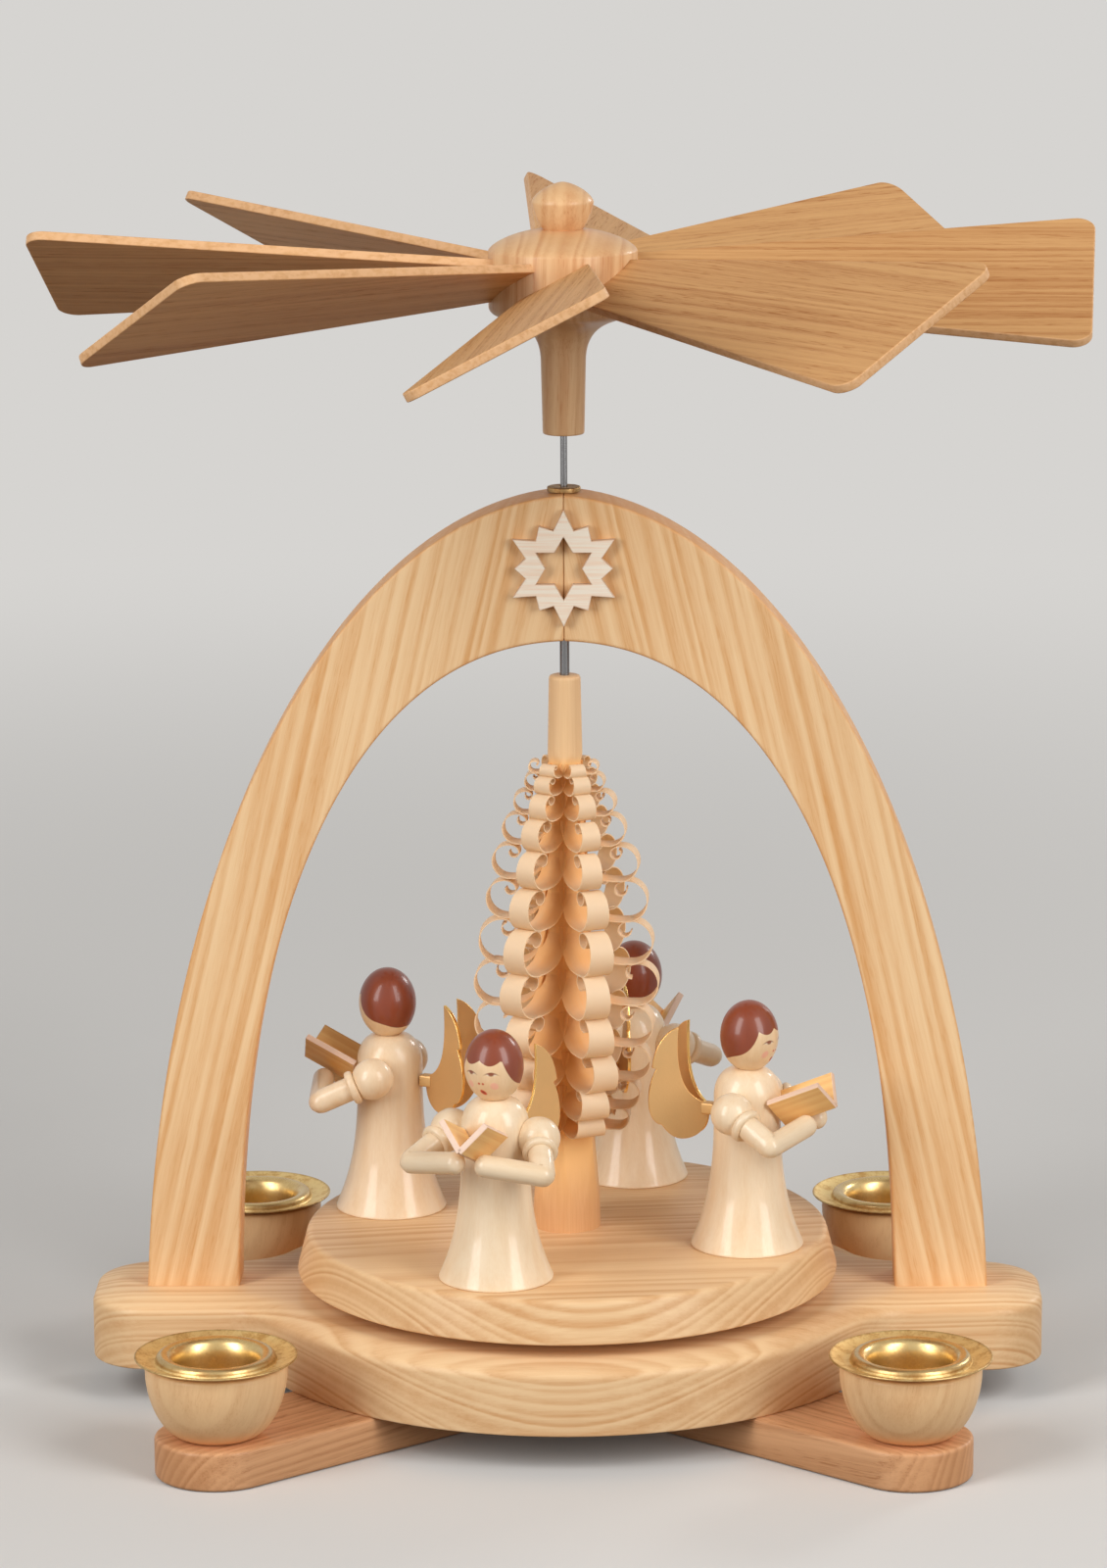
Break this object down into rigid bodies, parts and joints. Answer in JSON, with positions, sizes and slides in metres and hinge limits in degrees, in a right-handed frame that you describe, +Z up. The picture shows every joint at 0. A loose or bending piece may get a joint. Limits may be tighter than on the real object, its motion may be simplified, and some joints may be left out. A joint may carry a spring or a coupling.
{
  "type": "christmas pyramid",
  "caption": "Table-top wooden candle pyramid: warm air turns a bladed wheel whose spindle carries a turntable with a shaved tree and singing angels under an arch.",
  "frame": {"origin": "on the spindle axis, in the plane of the table top under the cross bars", "axes": "+Z up along the spindle, +X to the right along the arch as seen from the front, +Y away from the viewer; the star is on the -Y face"},
  "size_m": [0.226, 0.226, 0.2649],
  "materials": {
    "ash_wood": "satin clear coat over straight open grain",
    "maple_wood": "glossy clear coat; the heads carry a painted hair cap and face",
    "shaving_wood": "raw curled shavings",
    "star_wood": "raw thin plywood",
    "book_wood": "clear coat over thin boards",
    "socket_brass": "pressed sheet, matte brim and bright bead",
    "wing_gilt": "satin gilding with bright edges",
    "spindle_steel": "drawn wire"
  },
  "bodies": {
    "stand": {"base_plate": "ash_wood", "cross_bar_lower": "ash_wood", "cross_bar_upper": "ash_wood", "candle_cup_1": "ash_wood", "candle_cup_2": "ash_wood", "candle_cup_3": "ash_wood", "candle_cup_4": "ash_wood", "candle_socket_1": "socket_brass", "candle_socket_2": "socket_brass", "candle_socket_3": "socket_brass", "candle_socket_4": "socket_brass", "arch_left": "ash_wood", "arch_right": "ash_wood", "arch_dowel_left": "ash_wood", "arch_dowel_right": "ash_wood", "star": "star_wood", "top_bush": "socket_brass", "pivot_bearing": "socket_brass"},
    "rotor": {"spindle": "spindle_steel", "hub": "ash_wood", "blade_1": "ash_wood", "blade_2": "ash_wood", "blade_3": "ash_wood", "blade_4": "ash_wood", "blade_5": "ash_wood", "blade_6": "ash_wood", "blade_7": "ash_wood", "blade_8": "ash_wood", "turntable": "ash_wood", "tree": "shaving_wood", "angel_1_gown": "maple_wood", "angel_1_head": "maple_wood", "angel_1_arm_left": "maple_wood", "angel_1_arm_right": "maple_wood", "angel_1_book": "book_wood", "angel_1_wings": "wing_gilt", "angel_2_gown": "maple_wood", "angel_2_head": "maple_wood", "angel_2_arm_left": "maple_wood", "angel_2_arm_right": "maple_wood", "angel_2_book": "book_wood", "angel_2_wings": "wing_gilt", "angel_3_gown": "maple_wood", "angel_3_head": "maple_wood", "angel_3_arm_left": "maple_wood", "angel_3_arm_right": "maple_wood", "angel_3_book": "book_wood", "angel_3_wings": "wing_gilt", "angel_4_gown": "maple_wood", "angel_4_head": "maple_wood", "angel_4_arm_left": "maple_wood", "angel_4_arm_right": "maple_wood", "angel_4_book": "book_wood", "angel_4_wings": "wing_gilt"}
  },
  "joints": [
    {"name": "rotor_spin", "type": "hinge", "parent": "stand", "child": "rotor", "pos_m": [0, 0, 0], "axis": [0, 0, 1], "continuous": true}
  ]
}
